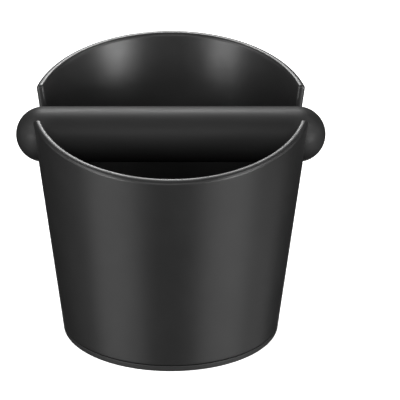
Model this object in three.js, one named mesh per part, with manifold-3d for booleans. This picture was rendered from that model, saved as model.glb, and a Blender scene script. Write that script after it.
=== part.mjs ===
// Espresso knock box: a tapered plastic bucket with a slanted rim, a rubber base ring under it, and a
// rubber-covered knock bar that lies in two U notches in the wall and lifts out.
//
// Millimetres, +Z up. +Y is the high back of the rim, X runs along the bar, and z = 0 is the surface
// that the base ring stands on. The origin is the middle of the object's outline on that surface.

import * as THREE from 'three';
import { mergeVertices } from 'three/addons/utils/BufferGeometryUtils.js';
import Module from 'manifold-3d';

const wasm = await Module();
wasm.setup();

// ---- Driving dimensions ----

// Bucket wall: a cone of outer radius FOOT_RADIUS at z = 0 that gains WALL_TAPER per mm of height.
const FOOT_RADIUS = 55;
const WALL_TAPER = 0.111;
const WALL_THICKNESS = 3.8;
const FLOOR_TOP = 13;
const FLOOR_THICKNESS = 3.2;
const FLOOR_FILLET = 2.4;

// Rim: one slanted plane, z = RIM_HEIGHT + RIM_SLOPE * y about the bucket's axis.
const RIM_HEIGHT = 118.35;
const RIM_SLOPE = 0.2675;

// Knock bar: a round-ended rod along X.
const BAR_RADIUS = 13.7;
const BAR_LENGTH = 151.8;
const BAR_HEIGHT = 101.9;

// Notches: open U slots that the bar lies in, with rounded lips.
const NOTCH_HALF_WIDTH = 14.4;
const NOTCH_FRONT_LIP = 1.6;
const NOTCH_BACK_LIP = 1.9;

// Base ring: a foot as wide as the wall and a tongue that grips the inside of the skirt.
const RING_HEIGHT = 3.1;
const RING_FOOT_WIDTH = 6.5;
const RING_EDGE = 0.9;
const RING_TONGUE_TOP = 8;
const RING_TONGUE_THICKNESS = 2.5;
const GROOVE = 0.4;

// Bar core: a steel tube with a flanged plug in each end, buried in the rubber.
const CORE_RADIUS = 8;
const CORE_WALL = 1.5;
const CORE_LENGTH = 132;
const PLUG_FLANGE = 2.5;
const PLUG_SPIGOT = 12;
const PLUG_LEAD_IN = 1;
const VENT_RADIUS = 1;

// Clearance between faces that touch, and the number of flats round each kind of turned piece.
const GAP = 0.3;
const BUCKET_FLATS = 96;
const BAR_FLATS = 48;
const CORE_FLATS = 32;

// How far the uncut wall and the rim cutter reach past the finished rim.
const CUT_MARGIN = 10;

// ---- Worked-out sizes ----

const wallRadius = (z) => FOOT_RADIUS + WALL_TAPER * z;
const rimZ = (y) => RIM_HEIGHT + RIM_SLOPE * y;

// Distance from the axis at which the slanted rim plane meets the outer wall, at the back and front.
const rimBackRadius = wallRadius(RIM_HEIGHT) / (1 - WALL_TAPER * RIM_SLOPE);
const rimFrontRadius = wallRadius(RIM_HEIGHT) / (1 + WALL_TAPER * RIM_SLOPE);

// The back of the rim stands further out than the front, so the axis lies a little in front of the
// outline's middle.
const axisY = (rimFrontRadius - rimBackRadius) / 2;

const notchBottom = BAR_HEIGHT - BAR_RADIUS - GAP;
const skirtBottom = RING_HEIGHT + GROOVE;

// ---- Helpers ----

const v2 = (x, y) => new THREE.Vector2(x, y);

// Points on a circular arc from angle a0 to a1 (radians), both ends included.
function arc(cx, cy, radius, a0, a1, steps) {
  return Array.from({ length: steps + 1 }, (_, i) => {
    const a = a0 + ((a1 - a0) * i) / steps;
    return v2(cx + radius * Math.cos(a), cy + radius * Math.sin(a));
  });
}

// The arc that rounds a corner between the directions towards `before` and `after`.
function roundedCorner(before, corner, after, radius, steps) {
  const toBefore = before.clone().sub(corner).normalize();
  const toAfter = after.clone().sub(corner).normalize();
  const half = Math.acos(toBefore.dot(toAfter)) / 2;
  const bisector = toBefore.clone().add(toAfter).normalize();
  const centre = corner.clone().addScaledVector(bisector, radius / Math.sin(half));
  const start = corner.clone().addScaledVector(toBefore, radius / Math.tan(half)).sub(centre).angle();
  const end = corner.clone().addScaledVector(toAfter, radius / Math.tan(half)).sub(centre).angle();
  let sweep = end - start;
  if (sweep > Math.PI) sweep -= 2 * Math.PI;
  if (sweep < -Math.PI) sweep += 2 * Math.PI;
  return arc(centre.x, centre.y, radius, start, start + sweep, steps);
}

// A closed solid with shared vertices, ready for joining and cutting.
function toSolid(geometry) {
  const bare = geometry.clone();
  bare.deleteAttribute('normal');
  bare.deleteAttribute('uv');
  const welded = mergeVertices(bare);
  return new wasm.Manifold(new wasm.Mesh({
    numProp: 3,
    vertProperties: new Float32Array(welded.attributes.position.array),
    triVerts: new Uint32Array(welded.index.array),
  }));
}

function toGeometry(solid) {
  const mesh = solid.getMesh();
  const geometry = new THREE.BufferGeometry();
  geometry.setAttribute('position', new THREE.BufferAttribute(mesh.vertProperties, 3));
  geometry.setIndex(new THREE.BufferAttribute(mesh.triVerts, 1));
  geometry.computeVertexNormals();
  return geometry;
}

// A profile of (radius, height) points turned about Z.
const turnedAboutZ = (profile, flats) => new THREE.LatheGeometry(profile, flats).rotateX(Math.PI / 2);

// A profile of (radius, distance) points turned about X, with distance running towards +X.
const turnedAboutX = (profile, flats) => new THREE.LatheGeometry(profile, flats).rotateZ(-Math.PI / 2);

// ---- Bucket ----

// The shell before the rim is cut: skirt, wall and raised floor, up to a flat top above the rim.
function bucketShell() {
  const top = rimZ(rimBackRadius) + CUT_MARGIN;
  const inner = (z) => wallRadius(z) - WALL_THICKNESS;
  const floorBottom = FLOOR_TOP - FLOOR_THICKNESS;
  const filletTop = FLOOR_TOP + FLOOR_FILLET;
  const fillet = arc(inner(filletTop) - FLOOR_FILLET, filletTop, FLOOR_FILLET, 0, -Math.PI / 2, 5);
  const profile = [
    v2(0, floorBottom),
    v2(inner(floorBottom), floorBottom),
    v2(inner(skirtBottom), skirtBottom),
    v2(wallRadius(skirtBottom), skirtBottom),
    v2(wallRadius(top), top),
    v2(inner(top), top),
    ...fillet,
    v2(0, FLOOR_TOP),
  ];
  return turnedAboutZ(profile, BUCKET_FLATS);
}

// Everything above the rim and inside the notches, drawn as (y, z) and extruded along X.
function rimAndNotchCutter() {
  const reach = rimBackRadius + 2 * CUT_MARGIN;
  const above = rimZ(reach) + CUT_MARGIN;
  const r = NOTCH_HALF_WIDTH;
  const arcCentre = notchBottom + r;
  const back = v2(reach, rimZ(reach));
  const backCorner = v2(r, rimZ(r));
  const frontCorner = v2(-r, rimZ(-r));
  const front = v2(-reach, rimZ(-reach));
  const outline = new THREE.Shape([
    back,
    v2(reach, above),
    v2(-reach, above),
    front,
    ...roundedCorner(front, frontCorner, v2(-r, arcCentre), NOTCH_FRONT_LIP, 5),
    ...arc(0, arcCentre, r, Math.PI, 2 * Math.PI, 24),
    ...roundedCorner(v2(r, arcCentre), backCorner, back, NOTCH_BACK_LIP, 4),
  ]);
  const geometry = new THREE.ExtrudeGeometry(outline, { depth: 2 * reach, bevelEnabled: false });
  // Outline x becomes Y, outline y becomes Z and the depth becomes X.
  const axes = new THREE.Matrix4().makeBasis(
    new THREE.Vector3(0, 1, 0), new THREE.Vector3(0, 0, 1), new THREE.Vector3(1, 0, 0),
  );
  return geometry.translate(0, 0, -reach).applyMatrix4(axes);
}

const bucketGeometry = () => toGeometry(toSolid(bucketShell()).subtract(toSolid(rimAndNotchCutter())));

// ---- Base ring ----

function baseRingGeometry() {
  const footInner = FOOT_RADIUS - RING_FOOT_WIDTH;
  const tongueOuter = wallRadius(skirtBottom) - WALL_THICKNESS - GAP;
  const tongueInner = tongueOuter - RING_TONGUE_THICKNESS;
  const edge = arc(FOOT_RADIUS - RING_EDGE, RING_EDGE, RING_EDGE, -Math.PI / 2, 0, 4);
  const profile = [
    v2(footInner, 0),
    ...edge,
    v2(wallRadius(RING_HEIGHT), RING_HEIGHT),
    v2(tongueOuter, RING_HEIGHT),
    v2(tongueOuter, RING_TONGUE_TOP),
    v2(tongueInner, RING_TONGUE_TOP),
    v2(tongueInner, RING_HEIGHT),
    v2(footInner, RING_HEIGHT),
    v2(footInner, 0),
  ];
  return turnedAboutZ(profile, BUCKET_FLATS);
}

// ---- Knock bar ----

const flangeEnd = CORE_LENGTH / 2 + GAP + PLUG_FLANGE;

// Rubber sleeve with two round ends. A vent hole in each end is where the core was held while the
// rubber was moulded round it.
function barSleeveGeometry() {
  const domeCentre = BAR_LENGTH / 2 - BAR_RADIUS;
  const pocketRadius = CORE_RADIUS + GAP;
  const pocketEnd = flangeEnd + GAP;
  const ventAngle = Math.acos(VENT_RADIUS / BAR_RADIUS);
  const start = v2(VENT_RADIUS, -pocketEnd);
  const profile = [
    start,
    ...arc(0, -domeCentre, BAR_RADIUS, -ventAngle, 0, 12),
    ...arc(0, domeCentre, BAR_RADIUS, 0, ventAngle, 12),
    v2(VENT_RADIUS, pocketEnd),
    v2(pocketRadius, pocketEnd),
    v2(pocketRadius, -pocketEnd),
    start,
  ];
  return turnedAboutX(profile, BAR_FLATS);
}

function barCoreTubeGeometry() {
  const bore = CORE_RADIUS - CORE_WALL;
  const end = CORE_LENGTH / 2;
  const profile = [
    v2(bore, -end),
    v2(CORE_RADIUS, -end),
    v2(CORE_RADIUS, end),
    v2(bore, end),
    v2(bore, -end),
  ];
  return turnedAboutX(profile, CORE_FLATS);
}

// One end plug, with its flange towards +X and its spigot inside the tube.
function barCorePlugGeometry() {
  const spigot = CORE_RADIUS - CORE_WALL - GAP;
  const flangeBack = CORE_LENGTH / 2 + GAP;
  const spigotEnd = flangeBack - PLUG_SPIGOT;
  const profile = [
    v2(0, spigotEnd),
    v2(spigot - PLUG_LEAD_IN, spigotEnd),
    v2(spigot, spigotEnd + PLUG_LEAD_IN),
    v2(spigot, flangeBack),
    v2(CORE_RADIUS, flangeBack),
    v2(CORE_RADIUS, flangeEnd),
    v2(0, flangeEnd),
  ];
  return turnedAboutX(profile, CORE_FLATS);
}

// ---- Materials ----

function finish(color, roughness, metalness = 0) {
  return new THREE.MeshStandardMaterial({ color, roughness, metalness });
}

const bucketPlastic = finish(0x2b2b2d, 0.45);
const baseRubber = finish(0x262627, 0.7);
const barRubber = finish(0x2a2a2b, 0.6);
const coreSteel = finish(0xb9bcc0, 0.35, 1);
const plugNylon = finish(0xd8d6cf, 0.55);

// ---- Assembly ----

function piece(name, geometry, material) {
  const mesh = new THREE.Mesh(geometry, material);
  mesh.name = name;
  return mesh;
}

const bar = new THREE.Group();
bar.position.z = BAR_HEIGHT;
bar.add(
  piece('bar_sleeve', barSleeveGeometry(), barRubber),
  piece('bar_core_tube', barCoreTubeGeometry(), coreSteel),
);
for (const [side, turn] of [['right', 0], ['left', Math.PI]]) {
  const plug = piece(`bar_core_plug_${side}`, barCorePlugGeometry(), plugNylon.clone());
  plug.rotation.z = turn;
  bar.add(plug);
}

const knockBox = new THREE.Group();
knockBox.position.y = axisY;
knockBox.add(
  piece('bucket', bucketGeometry(), bucketPlastic),
  piece('base_ring', baseRingGeometry(), baseRubber),
  bar,
);

export default knockBox;
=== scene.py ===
import math

import bpy
import numpy as np
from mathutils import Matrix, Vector


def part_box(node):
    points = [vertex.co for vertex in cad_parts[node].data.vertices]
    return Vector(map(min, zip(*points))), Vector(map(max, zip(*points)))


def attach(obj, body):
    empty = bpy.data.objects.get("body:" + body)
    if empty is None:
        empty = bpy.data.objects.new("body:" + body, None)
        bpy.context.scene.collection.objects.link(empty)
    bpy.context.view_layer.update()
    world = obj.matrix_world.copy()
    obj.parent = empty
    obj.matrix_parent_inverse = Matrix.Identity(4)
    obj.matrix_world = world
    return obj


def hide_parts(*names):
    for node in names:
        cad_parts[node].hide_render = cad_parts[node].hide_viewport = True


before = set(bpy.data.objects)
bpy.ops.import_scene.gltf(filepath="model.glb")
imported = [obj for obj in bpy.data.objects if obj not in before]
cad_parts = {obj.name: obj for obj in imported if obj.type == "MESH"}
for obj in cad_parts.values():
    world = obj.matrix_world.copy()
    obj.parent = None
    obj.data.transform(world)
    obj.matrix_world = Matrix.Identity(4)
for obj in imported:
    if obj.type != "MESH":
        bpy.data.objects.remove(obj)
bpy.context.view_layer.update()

# Espresso knock box: a tapered bucket with a slanted rim and two notches, a base ring under it, and a
# rubber knock bar on a steel core that lies in the notches. Metres, +Z up, the low front of the rim
# towards -Y and the bar along X. Every fine piece stands for one CAD node and keeps to that node's box.

MM = 0.001


# ---- Sizes ----
# Outlines come from the boxes of the CAD nodes. What a box doesn't tell is a named value.

ring_lo, ring_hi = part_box("base_ring")
bucket_lo, bucket_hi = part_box("bucket")
sleeve_lo, sleeve_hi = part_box("bar_sleeve")
tube_lo, tube_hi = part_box("bar_core_tube")
plug_lo, plug_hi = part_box("bar_core_plug_right")

GAP = 0.3 * MM  # clearance between neighbouring pieces

AXIS_Y = (ring_lo.y + ring_hi.y) / 2
RING_HEIGHT = 3.1 * MM
RING_RADIUS = (ring_hi.x - ring_lo.x) / 2
BACK_RADIUS = bucket_hi.y - AXIS_Y
FRONT_RADIUS = AXIS_Y - bucket_lo.y

# The outer wall is a cone, and the rim is one slanted plane through its high back and low front.
TAPER = (BACK_RADIUS - RING_RADIUS) / (bucket_hi.z - RING_HEIGHT)
FOOT_RADIUS = RING_RADIUS - TAPER * RING_HEIGHT
FRONT_HEIGHT = (FRONT_RADIUS - FOOT_RADIUS) / TAPER
RIM_SLOPE = (bucket_hi.z - FRONT_HEIGHT) / (BACK_RADIUS + FRONT_RADIUS)
RIM_HEIGHT = bucket_hi.z - RIM_SLOPE * BACK_RADIUS

WALL = 3.8 * MM
SKIRT_BOTTOM = bucket_lo.z
FLOOR_TOP = 13 * MM
FLOOR_THICKNESS = 3.2 * MM
FLOOR_FILLET = 2.4 * MM
UNDER_FILLET = 1.2 * MM

FOOT_BAND = 6.5 * MM  # width of the base ring's flat underside
TONGUE_THICKNESS = 2.5 * MM

BAR_RADIUS = (sleeve_hi.z - sleeve_lo.z) / 2
BAR_Z = (sleeve_hi.z + sleeve_lo.z) / 2
VENT_RADIUS = 1 * MM
# The vent takes the tip off each round end, so the node's box stops a little short of it.
BAR_HALF = (sleeve_hi.x - sleeve_lo.x) / 2 + BAR_RADIUS - math.sqrt(BAR_RADIUS**2 - VENT_RADIUS**2)

TUBE_RADIUS = (tube_hi.z - tube_lo.z) / 2
TUBE_WALL = 1.5 * MM
POCKET_RADIUS = TUBE_RADIUS + GAP

FLANGE_RADIUS = (plug_hi.z - plug_lo.z) / 2
FLANGE_END = plug_hi.x
FLANGE_THICKNESS = 2.5 * MM
SPIGOT_START = plug_lo.x
SPIGOT_RADIUS = FLANGE_RADIUS - 1.8 * MM
LEAD_IN = 1 * MM

NOTCH_RADIUS = 14.4 * MM
NOTCH_CENTRE = BAR_Z - BAR_RADIUS - GAP + NOTCH_RADIUS
FRONT_LIP = 1.6 * MM
BACK_LIP = 1.9 * MM

# How far the rounding of the cut edges reaches across the edge and down the wall, on each surface.
OUTER_ACROSS = 2.3 * MM
OUTER_DOWN = 1.5 * MM
INNER_ACROSS = 1.25 * MM
INNER_DOWN = 1.5 * MM


# ---- Mesh helpers ----

def make_piece(name, shape, material, body, node):
    """A smooth mesh that stands for one CAD node and rides with its body."""
    vertices, faces = shape
    mesh = bpy.data.meshes.new(name)
    mesh.from_pydata([tuple(v) for v in vertices], [], faces)
    mesh.validate()
    mesh.shade_smooth()
    mesh.materials.append(material)
    piece = bpy.data.objects.new(name, mesh)
    bpy.context.scene.collection.objects.link(piece)
    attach(piece, body)
    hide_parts(node)


def loft(rings, closed_path=False):
    """Quads between rings of equally many points. A closed path joins the last ring to the first;
    otherwise each end is capped round its middle point."""
    count = len(rings[0])
    vertices = [p for ring in rings for p in ring]
    faces = []
    last = len(rings) if closed_path else len(rings) - 1
    for r in range(last):
        a = r * count
        b = (r + 1) % len(rings) * count
        for i in range(count):
            j = (i + 1) % count
            faces.append((a + i, a + j, b + j, b + i))
    if not closed_path:
        for base, flip in ((0, True), ((len(rings) - 1) * count, False)):
            middle = len(vertices)
            vertices.append(np.mean(vertices[base:base + count], axis=0))
            for i in range(count):
                edge = (base + i, base + (i + 1) % count)
                faces.append((*(edge[::-1] if flip else edge), middle))
    return vertices, faces


def arc(cx, cy, radius, start, end, steps):
    """Points on a circular arc, angles in degrees, both ends included."""
    angles = np.radians(np.linspace(start, end, steps + 1))
    return [(cx + radius * math.cos(a), cy + radius * math.sin(a)) for a in angles]


def rounded(profile, radii, steps=5):
    """A closed profile of corner points with each corner replaced by an arc of its own radius."""
    points = []
    for i, (corner, radius) in enumerate(zip(profile, radii)):
        here = np.array(corner, float)
        before = np.array(profile[i - 1], float) - here
        after = np.array(profile[(i + 1) % len(profile)], float) - here
        if radius == 0:
            points.append(tuple(here))
            continue
        before /= np.linalg.norm(before)
        after /= np.linalg.norm(after)
        half = math.acos(np.clip(before @ after, -1, 1)) / 2
        bisector = (before + after) / np.linalg.norm(before + after)
        centre = here + bisector * radius / math.sin(half)
        first = here + before * radius / math.tan(half) - centre
        last = here + after * radius / math.tan(half) - centre
        a0 = math.atan2(first[1], first[0])
        sweep = (math.atan2(last[1], last[0]) - a0 + math.pi) % (2 * math.pi) - math.pi
        for k in range(steps + 1):
            a = a0 + sweep * k / steps
            points.append((centre[0] + radius * math.cos(a), centre[1] + radius * math.sin(a)))
    return points


def with_supports(profile, gap):
    """Adds a point near both ends of every long straight run of a closed profile, so that smooth
    shading stays flat there."""
    points = []
    for i, start in enumerate(profile):
        a = np.array(start, float)
        b = np.array(profile[(i + 1) % len(profile)], float)
        points.append(tuple(a))
        length = np.linalg.norm(b - a)
        if length > 4 * gap:
            points.append(tuple(a + (b - a) * gap / length))
            points.append(tuple(b - (b - a) * gap / length))
    return points


def turned(profile, segments, place):
    """Rings of a (radius, distance) profile turned about an axis. place gives the point at a radius,
    a distance along the axis and an angle."""
    angles = [2 * math.pi * i / segments for i in range(segments)]
    return [[place(r, d, a) for a in angles] for r, d in profile]


def about_z(r, d, a):
    """A point at height d round the box's upright axis."""
    return np.array([r * math.cos(a), AXIS_Y + r * math.sin(a), d])


def about_bar(r, d, a):
    """A point at x = d round the bar's axis."""
    return np.array([d, AXIS_Y + r * math.cos(a), BAR_Z + r * math.sin(a)])


# ---- Materials ----

class Nodes:
    """Builds one material's node tree with short calls."""

    def __init__(self, name):
        self.material = bpy.data.materials.new(name)
        self.material.use_nodes = True
        self.tree = self.material.node_tree
        self.shader = self.tree.nodes["Principled BSDF"]
        coordinates = self.tree.nodes.new("ShaderNodeTexCoord")
        self.place = coordinates.outputs["Object"]

    def link(self, source, target):
        self.tree.links.new(source, target)

    def noise(self, scale, detail=2.0, roughness=0.5, stretch=(1, 1, 1)):
        mapping = self.tree.nodes.new("ShaderNodeMapping")
        mapping.inputs["Scale"].default_value = stretch
        self.link(self.place, mapping.inputs["Vector"])
        node = self.tree.nodes.new("ShaderNodeTexNoise")
        node.inputs["Scale"].default_value = scale
        node.inputs["Detail"].default_value = detail
        node.inputs["Roughness"].default_value = roughness
        self.link(mapping.outputs["Vector"], node.inputs["Vector"])
        return node.outputs["Fac"]

    def cells(self, scale):
        """Rounded pits and bumps, for a pebbled skin."""
        node = self.tree.nodes.new("ShaderNodeTexVoronoi")
        node.inputs["Scale"].default_value = scale
        self.link(self.place, node.inputs["Vector"])
        return node.outputs["Distance"]

    def spread(self, value, low, high):
        """Stretches the middle of a pattern's range, where most of it lies, over low to high."""
        node = self.tree.nodes.new("ShaderNodeMapRange")
        node.inputs["From Min"].default_value = 0.3
        node.inputs["From Max"].default_value = 0.7
        node.inputs["To Min"].default_value = low
        node.inputs["To Max"].default_value = high
        self.link(value, node.inputs["Value"])
        return node.outputs["Result"]

    def tint(self, value, low, high):
        node = self.tree.nodes.new("ShaderNodeMix")
        node.data_type = "RGBA"
        node.inputs["A"].default_value = (*low, 1)
        node.inputs["B"].default_value = (*high, 1)
        self.link(value, node.inputs["Factor"])
        return node.outputs["Result"]

    def bump(self, height, distance, strength, under=None):
        node = self.tree.nodes.new("ShaderNodeBump")
        node.inputs["Strength"].default_value = strength
        node.inputs["Distance"].default_value = distance
        self.link(height, node.inputs["Height"])
        if under is not None:
            self.link(under, node.inputs["Normal"])
        return node.outputs["Normal"]

    def colour(self, pattern, low, high):
        """Base colour that wanders between two tints."""
        self.link(self.tint(self.spread(pattern, 0, 1), low, high), self.shader.inputs["Base Color"])

    def roughness(self, pattern, low, high):
        self.link(self.spread(pattern, low, high), self.shader.inputs["Roughness"])

    def relief(self, normal):
        self.link(normal, self.shader.inputs["Normal"])

    def constant(self, socket, value):
        self.shader.inputs[socket].default_value = value


def moulded_plastic():
    """Satin black ABS: a very fine spark-eroded grain, and slightly uneven gloss."""
    m = Nodes("satin_black_abs")
    m.colour(m.noise(38, detail=3), (0.0175,) * 3, (0.0205,) * 3)
    m.roughness(m.noise(120, detail=4, roughness=0.6), 0.345, 0.395)
    m.relief(m.bump(m.noise(2600, detail=2), 0.04 * MM, 0.5))
    m.constant("IOR", 1.5)
    return m.material


def base_rubber():
    """Matt black thermoplastic rubber with a pebbled skin."""
    m = Nodes("matt_black_tpr")
    m.colour(m.noise(60, detail=3), (0.016,) * 3, (0.020,) * 3)
    m.roughness(m.noise(300, detail=3), 0.52, 0.62)
    m.relief(m.bump(m.cells(2200), 0.05 * MM, 0.4))
    m.constant("IOR", 1.5)
    return m.material


def bar_rubber():
    """Dense moulded rubber: matt with a soft sheen, a fine pebble and faint scuffs along the bar."""
    m = Nodes("matt_black_rubber")
    m.colour(m.noise(55, detail=4, stretch=(0.35, 1, 1)), (0.017,) * 3, (0.021,) * 3)
    scuffs = m.noise(420, detail=3, roughness=0.6, stretch=(0.12, 1, 1))
    m.roughness(scuffs, 0.47, 0.54)
    pebble = m.bump(m.cells(1800), 0.05 * MM, 0.35)
    m.relief(m.bump(scuffs, 0.04 * MM, 0.3, under=pebble))
    m.constant("IOR", 1.5)
    m.constant("Specular IOR Level", 0.26)
    return m.material


def drawn_steel():
    """Stainless tube with fine drawing lines along its length."""
    m = Nodes("drawn_stainless")
    lines = m.noise(900, detail=3, stretch=(0.02, 1, 1))
    m.colour(lines, (0.52, 0.53, 0.54), (0.62, 0.63, 0.64))
    m.roughness(lines, 0.26, 0.38)
    m.relief(m.bump(lines, 0.03 * MM, 0.4))
    m.constant("Metallic", 1.0)
    return m.material


def plug_nylon():
    """Natural moulded nylon, slightly clouded."""
    m = Nodes("natural_nylon")
    clouds = m.noise(200, detail=3)
    m.colour(clouds, (0.60, 0.57, 0.50), (0.68, 0.65, 0.58))
    m.roughness(clouds, 0.42, 0.52)
    m.relief(m.bump(m.noise(1800), 0.03 * MM, 0.3))
    m.constant("IOR", 1.53)
    return m.material


# ---- Bucket ----
# Its mesh is a loft of rings with the same columns in every ring. The rings run from the middle of the
# underside, up the outside, over the cut edge and down the inside to the middle of the floor.

LIP_STEPS = 8
NOTCH_STEPS = 40
SIDE_STEPS = 4
RIM_COLUMNS = 60
EDGE_STEPS = 6
SUPPORT = 0.5 * MM  # distance from a fillet to the row beside it

# How far down each row of the wall lies, from its cut edge (0) to its foot (1).
ROW_SHARES = (0.01, 0.03, 0.06, 0.1, 0.17, 0.26, 0.38, 0.52, 0.66, 0.8, 0.92, 1)

# The notches' columns get this much more room at the foot than their length along the edge would give
# them. It makes the ones from the notches' upright sides lean outwards from the start.
NOTCH_ROOM = 1.2


def cone_radius(z, inset):
    """Radius at height z of the wall's outer surface (inset 0) or its inner one (inset WALL)."""
    return FOOT_RADIUS + TAPER * z - inset


def on_wall(y, z, inset):
    """The point of one surface of the wall at y and z, on the +X side."""
    r = cone_radius(z, inset)
    return (math.sqrt(r * r - y * y), y, z)


def rim_point(angle, inset):
    """Where the rim plane meets the wall at an angle round the axis, 0 at +X and 90 degrees at +Y."""
    s = math.sin(angle)
    r = cone_radius(RIM_HEIGHT, inset) / (1 - TAPER * RIM_SLOPE * s)
    return (r * math.cos(angle), r * s, RIM_HEIGHT + RIM_SLOPE * r * s)


def lip(side, radius):
    """(y, z) points of a rounded lip between the rim line and a notch side, ordered towards +Y.
    side is -1 for the front lip and +1 for the back one."""
    corner = (side * NOTCH_RADIUS, RIM_HEIGHT + RIM_SLOPE * side * NOTCH_RADIUS)
    along = (side, side * RIM_SLOPE)
    down = (corner[0], corner[1] - NOTCH_RADIUS)
    out = (corner[0] + along[0] * NOTCH_RADIUS, corner[1] + along[1] * NOTCH_RADIUS)
    points = rounded([out, corner, down], [0, radius, 0], LIP_STEPS)[1:-1]
    return points if side < 0 else points[::-1]


def rim_half(inset):
    """The cut edge on one surface of the +X half: front rim, notch and back rim, from -Y round to +Y."""
    front_lip = lip(-1, FRONT_LIP)
    back_lip = lip(1, BACK_LIP)
    front_drop = np.linspace(front_lip[-1][1], NOTCH_CENTRE, SIDE_STEPS + 1)[1:-1]
    back_rise = np.linspace(NOTCH_CENTRE, back_lip[0][1], 2 * SIDE_STEPS + 2)[1:-1]
    notch = (
        front_lip
        + [(-NOTCH_RADIUS, z) for z in front_drop]
        + arc(0, NOTCH_CENTRE, NOTCH_RADIUS, 180, 360, NOTCH_STEPS)
        + [(NOTCH_RADIUS, z) for z in back_rise]
        + back_lip
    )
    notch = [on_wall(y, z, inset) for y, z in notch]
    front_end = math.atan2(notch[0][1], notch[0][0])
    back_start = math.atan2(notch[-1][1], notch[-1][0])
    front_angles = np.linspace(-math.pi / 2, front_end, RIM_COLUMNS)[:-1]
    back_angles = np.linspace(back_start, math.pi / 2, RIM_COLUMNS)[1:]
    front = [rim_point(angle, inset) for angle in front_angles]
    back = [rim_point(angle, inset) for angle in back_angles]
    return front + notch + back


def whole_loop(half):
    """The +X half and its mirror image, as one closed loop round the axis."""
    mirrored = [(-x, y, z) for x, y, z in half[-2:0:-1]]
    return np.array(half + mirrored)


def unit(vectors):
    return vectors / np.linalg.norm(vectors, axis=1, keepdims=True)


def onto_cone(points, inset):
    """Points moved radially onto one surface of the wall."""
    r = np.hypot(points[:, 0], points[:, 1])
    scale = cone_radius(points[:, 2], inset) / r
    return np.column_stack([points[:, 0] * scale, points[:, 1] * scale, points[:, 2]])


def into_wall(loop):
    """For each point of a cut edge, the direction in the wall's surface that leads away from the cut."""
    tangent = unit(np.roll(loop, -1, axis=0) - np.roll(loop, 1, axis=0))
    r = np.hypot(loop[:, 0], loop[:, 1])
    normal = unit(np.column_stack([loop[:, 0] / r, loop[:, 1] / r, np.full(len(r), -TAPER)]))
    return unit(np.cross(tangent, normal))


def column_angles(loop):
    """Angles of the columns at the foot of the wall: in each quarter they are spread as they are along
    the cut edge, so they fan out under the notches."""
    steps = np.linalg.norm(np.roll(loop, -1, axis=0) - loop, axis=1)
    at_notch = np.abs(loop[:, 1]) < 1.1 * NOTCH_RADIUS
    steps *= np.where(at_notch, NOTCH_ROOM, 1)
    travelled = np.concatenate([[0], np.cumsum(steps)])
    half = len(loop) // 2
    right = int(np.argmin(loop[:half, 2]))
    back = int(np.argmax(loop[:, 1]))
    left = half + int(np.argmin(loop[half:, 2]))
    marks = travelled[[0, right, back, left, len(loop)]]
    return np.radians(np.interp(travelled[:-1], marks, [-90, 0, 90, 180, 270]))


def wall_rows(loop, inset, edge, foot_angles, foot_z):
    """Rows on one surface of the wall, from the rounded edge down to a level circle at foot_z. The
    columns turn most near the edge, so that beside a notch no row crosses the one above it."""
    near = onto_cone(loop + into_wall(loop) * edge, inset)
    top_angles = np.unwrap(np.arctan2(near[:, 1], near[:, 0]))
    rows = [near]
    for share in ROW_SHARES:
        angles = top_angles + (foot_angles - top_angles) * math.sqrt(share)
        z = near[:, 2] + (foot_z - near[:, 2]) * share
        r = cone_radius(z, inset)
        rows.append(np.column_stack([r * np.cos(angles), r * np.sin(angles), z]))
    return rows


def level_rings(profile, angles):
    """Level circles for the (radius, z) points of a profile."""
    level = np.ones(len(angles))
    return [np.column_stack([r * np.cos(angles), r * np.sin(angles), z * level]) for r, z in profile]


def underside_rings(angles):
    """Ceiling of the recess from its middle outwards, inside of the skirt and its bottom edge."""
    ceiling = FLOOR_TOP - FLOOR_THICKNESS
    recess_radius = cone_radius(ceiling, WALL)
    flat_radius = recess_radius - UNDER_FILLET
    above_edge = SKIRT_BOTTOM + 1.5 * MM
    skirt = [
        (recess_radius, ceiling),
        (cone_radius(SKIRT_BOTTOM, WALL), SKIRT_BOTTOM),
        (cone_radius(SKIRT_BOTTOM, 0), SKIRT_BOTTOM),
        (cone_radius(ceiling, 0), ceiling),
    ]
    profile = [(recess_radius * share, ceiling) for share in (0.04, 0.3, 0.6, 0.9)]
    profile.append((flat_radius - SUPPORT, ceiling))
    profile += arc(flat_radius, ceiling - UNDER_FILLET, UNDER_FILLET, 90, 0, 6)
    profile.append((cone_radius(above_edge, WALL), above_edge))
    profile += rounded(skirt, [0, 0.4 * MM, 0.35 * MM, 0], 4)[1:-1]
    return level_rings(profile, angles)


def wall_rings(outer, inner, angles):
    """Outside of the wall from its foot up, the rounded cut edge, and the inside down to the floor."""
    across = inner - outer
    width = np.linalg.norm(across, axis=1, keepdims=True)
    across = across / width
    flat = width - OUTER_ACROSS - INNER_ACROSS
    outer_away = into_wall(outer)
    inner_away = into_wall(inner)
    bends = np.radians(np.linspace(0, 90, EDGE_STEPS + 1))[1:]
    outer_foot = SKIRT_BOTTOM + 1.2 * MM
    inner_foot = FLOOR_TOP + FLOOR_FILLET + SUPPORT

    rings = wall_rows(outer, 0, OUTER_DOWN, angles, outer_foot)[::-1]
    for bend in bends:
        down = OUTER_DOWN * (1 - math.sin(bend))
        inwards = OUTER_ACROSS * (1 - math.cos(bend))
        rings.append(outer + down * outer_away + inwards * across)
    for share in (0.25, 0.75):
        rings.append(outer + across * (OUTER_ACROSS + share * flat))
    for bend in bends[::-1]:
        down = INNER_DOWN * (1 - math.sin(bend))
        outwards = INNER_ACROSS * (1 - math.cos(bend))
        rings.append(inner + down * inner_away - outwards * across)
    return rings + wall_rows(inner, WALL, INNER_DOWN, angles, inner_foot)


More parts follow.
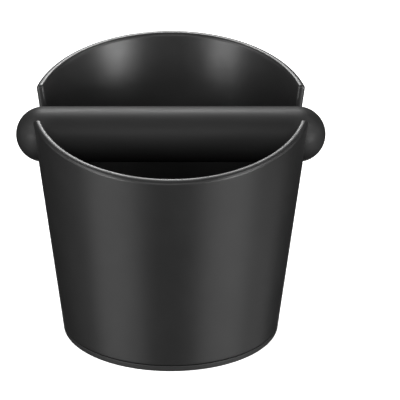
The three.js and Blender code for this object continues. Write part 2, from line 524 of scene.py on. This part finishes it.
def floor_rings(angles):
    """The fillet at the foot of the inner wall, and the floor in to its middle."""
    fillet_top = FLOOR_TOP + FLOOR_FILLET
    floor_radius = cone_radius(fillet_top, WALL) - FLOOR_FILLET
    profile = arc(floor_radius, fillet_top, FLOOR_FILLET, 0, -90, 8)
    profile += [(floor_radius * share, FLOOR_TOP) for share in (0.97, 0.8, 0.55, 0.3, 0.04)]
    return level_rings(profile, angles)


def bucket_rings():
    """All rings of the bucket, moved to stand on its own axis."""
    outer = whole_loop(rim_half(0))
    inner = whole_loop(rim_half(WALL))
    angles = column_angles(outer)
    rings = underside_rings(angles) + wall_rings(outer, inner, angles) + floor_rings(angles)
    centre = np.array([0, AXIS_Y, 0])
    return [ring + centre for ring in rings]


# ---- Base ring ----

def base_ring_profile():
    """The band under the wall, and the tongue that grips the inside of the skirt."""
    foot_inner = FOOT_RADIUS - FOOT_BAND
    tongue_outer = cone_radius(SKIRT_BOTTOM, WALL) - GAP
    tongue_inner = tongue_outer - TONGUE_THICKNESS
    corners = [
        (foot_inner, 0),
        (FOOT_RADIUS, 0),
        (RING_RADIUS, RING_HEIGHT),
        (tongue_outer, RING_HEIGHT),
        (tongue_outer, ring_hi.z),
        (tongue_inner, ring_hi.z),
        (tongue_inner, RING_HEIGHT),
        (foot_inner, RING_HEIGHT),
    ]
    radii = [r * MM for r in (0.6, 0.9, 0.3, 0.3, 0.5, 0.5, 0.1, 0.1)]
    return with_supports(rounded(corners, radii), 0.25 * MM)


# ---- Knock bar ----

def sleeve_profile():
    """Round-ended outside, a vent with a rounded edge in each end, and the pocket that holds the core."""
    dome = BAR_HALF - BAR_RADIUS
    pocket_end = FLANGE_END + GAP
    edge = 0.35 * MM
    edge_turn = math.acos((VENT_RADIUS + edge) / (BAR_RADIUS - edge))
    edge_centre = dome + (BAR_RADIUS - edge) * math.sin(edge_turn)
    meeting = math.degrees(edge_turn)
    end = arc(0, dome, BAR_RADIUS, 0, meeting, 28)
    end += arc(VENT_RADIUS + edge, edge_centre, edge, meeting, 180, 5)[1:]
    end += [(VENT_RADIUS, pocket_end), (POCKET_RADIUS, pocket_end)]
    middle = [(BAR_RADIUS, dome * share) for share in (-0.97, -0.6, -0.2, 0.2, 0.6, 0.97)]
    start = [(r, -d) for r, d in reversed(end)]
    return start + middle + end


def tube_profile():
    """The core tube's wall, with its cut ends slightly rounded."""
    bore = TUBE_RADIUS - TUBE_WALL
    corners = [(bore, tube_lo.x), (TUBE_RADIUS, tube_lo.x), (TUBE_RADIUS, tube_hi.x), (bore, tube_hi.x)]
    return with_supports(rounded(corners, [0.3 * MM] * 4, 3), 0.5 * MM)


def plug_rings(side):
    """A flanged plug as rings from the middle of its spigot's end to the middle of its flange.
    side is 1 for the plug at +X and -1 for its mirror image."""
    flange_back = FLANGE_END - FLANGE_THICKNESS
    middle = 0.3 * MM
    corners = [
        (0, SPIGOT_START),
        (SPIGOT_RADIUS - LEAD_IN, SPIGOT_START),
        (SPIGOT_RADIUS, SPIGOT_START + LEAD_IN),
        (SPIGOT_RADIUS, flange_back),
        (FLANGE_RADIUS, flange_back),
        (FLANGE_RADIUS, FLANGE_END),
        (0, FLANGE_END),
    ]
    radii = [r * MM for r in (0, 0.3, 0.3, 0.2, 0.3, 0.6, 0)]
    profile = with_supports(rounded(corners, radii, 4), 0.4 * MM)
    # The straight run along the axis, which only closes the profile, is left out of the rings.
    profile = [(max(r, middle), d) for r, d in profile if r > 0 or d in (SPIGOT_START, FLANGE_END)]
    return turned(profile, 64, lambda r, d, a: about_bar(r, side * d, side * a))


# ---- Pieces ----

make_piece(
    "bucket_shell", loft(bucket_rings()),
    moulded_plastic(), "box", "bucket",
)
make_piece(
    "base_ring_moulding", loft(turned(base_ring_profile(), 320, about_z), closed_path=True),
    base_rubber(), "box", "base_ring",
)
make_piece(
    "bar_rubber_sleeve", loft(turned(sleeve_profile(), 128, about_bar), closed_path=True),
    bar_rubber(), "bar_sleeve", "bar_sleeve",
)
make_piece(
    "bar_steel_tube", loft(turned(tube_profile(), 96, about_bar), closed_path=True),
    drawn_steel(), "bar_core", "bar_core_tube",
)
nylon = plug_nylon()
for side_name, side in (("right", 1), ("left", -1)):
    make_piece(
        f"bar_end_plug_{side_name}", loft(plug_rings(side)),
        nylon, "bar_core", f"bar_core_plug_{side_name}",
    )


# ---- Floor, light and camera ----

LIGHT_AIM = Vector((0, AXIS_Y, 0.06))
LIGHT_DISTANCE = 1.2
CAMERA_AIM = Vector((0, AXIS_Y, 0.06737))
CAMERA_PIVOT = Vector((0, AXIS_Y, 0.062))
CAMERA_DISTANCE = 0.713
CAMERA_ELEVATION = 21.12


def make_floor():
    """A pale floor that glows, so it stays even, and neither shades nor lights the box."""
    half = 4.0
    mesh = bpy.data.meshes.new("floor")
    corners = [(-half, -half, 0), (half, -half, 0), (half, half, 0), (-half, half, 0)]
    mesh.from_pydata(corners, [], [(0, 1, 2, 3)])
    material = bpy.data.materials.new("pale_floor")
    material.use_nodes = True
    shader = material.node_tree.nodes["Principled BSDF"]
    shader.inputs["Base Color"].default_value = (0.9, 0.9, 0.9, 1)
    shader.inputs["Roughness"].default_value = 0.9
    shader.inputs["Emission Color"].default_value = (1, 1, 1, 1)
    shader.inputs["Emission Strength"].default_value = 0.95
    mesh.materials.append(material)
    floor = bpy.data.objects.new("floor", mesh)
    bpy.context.scene.collection.objects.link(floor)
    floor.visible_diffuse = False
    floor.visible_glossy = False
    floor.visible_shadow = False


def direction(azimuth, elevation):
    """Unit vector away from the box, in degrees. Azimuth 0 is in front of it and 90 on its right."""
    a = math.radians(azimuth)
    e = math.radians(elevation)
    return Vector((math.sin(a) * math.cos(e), -math.cos(a) * math.cos(e), math.sin(e)))


def softbox(name, azimuth, elevation, width, height, watts, distance=LIGHT_DISTANCE):
    """A rectangular area light that faces the box."""
    data = bpy.data.lights.new(name, "AREA")
    data.shape = "RECTANGLE"
    data.size = width
    data.size_y = height
    data.energy = watts
    light = bpy.data.objects.new(name, data)
    bpy.context.scene.collection.objects.link(light)
    away = direction(azimuth, elevation)
    light.location = LIGHT_AIM + away * distance
    light.rotation_mode = "QUATERNION"
    light.rotation_quaternion = away.to_track_quat("Z", "Y")


def make_world():
    """White behind the floor for the camera. It doesn't light the box."""
    world = bpy.data.worlds.new("studio")
    world.use_nodes = True
    background = world.node_tree.nodes["Background"]
    background.inputs["Color"].default_value = (1, 1, 1, 1)
    background.inputs["Strength"].default_value = 1.0
    bpy.context.scene.world = world
    world.cycles_visibility.diffuse = False
    world.cycles_visibility.glossy = False


def make_lights():
    """Large softboxes. Their reflections make the light bands down the wall and along the rim."""
    # Pairs on the left and right: name, azimuth, elevation, width, height, watts on each side.
    for name, azimuth, elevation, width, height, left, right in (
        ("glare", 49, 2, 0.5, 0.5, 5.6, 4.3),
        ("low", 53, -34, 0.9, 0.5, 2.0, 2.0),
        ("low_side", 98, -34, 0.6, 0.5, 0.1, 0.45),
        ("side", 90, 10, 0.4, 0.5, 0.85, 1.2),
        ("high", 62, 42, 0.5, 0.45, 3.7, 4.1),
    ):
        softbox(f"{name}_left", -azimuth, elevation, width, height, left)
        softbox(f"{name}_right", azimuth, elevation, width, height, right)
    softbox("key_right", 50, 1, 0.45, 0.25, 4.7)
    softbox("key_left", -46, 1, 0.25, 0.25, 1.4)
    softbox("upper_left", -55, 24, 0.4, 0.3, 1.0)
    softbox("rear_low", 180, -34, 0.7, 0.5, 1.8)
    softbox("back_left", 193, 51, 0.36, 0.3, 4.6)
    softbox("back_middle", 176, 51, 0.42, 0.3, 5.3)
    softbox("front", -3, 29, 0.7, 0.05, 1.5, distance=1.0)


def make_camera():
    """In front of the box and a little above it. The box stands left of the middle of the picture."""
    data = bpy.data.cameras.new("camera")
    data.sensor_width = 36
    data.lens = 128.2
    data.shift_x = 0.073
    camera = bpy.data.objects.new("camera", data)
    bpy.context.scene.collection.objects.link(camera)
    camera.location = CAMERA_PIVOT + direction(0, CAMERA_ELEVATION) * CAMERA_DISTANCE
    camera.rotation_mode = "QUATERNION"
    camera.rotation_quaternion = (camera.location - CAMERA_AIM).to_track_quat("Z", "Y")
    bpy.context.scene.camera = camera


make_floor()
make_world()
make_lights()
make_camera()
bpy.context.scene.view_settings.view_transform = "Standard"
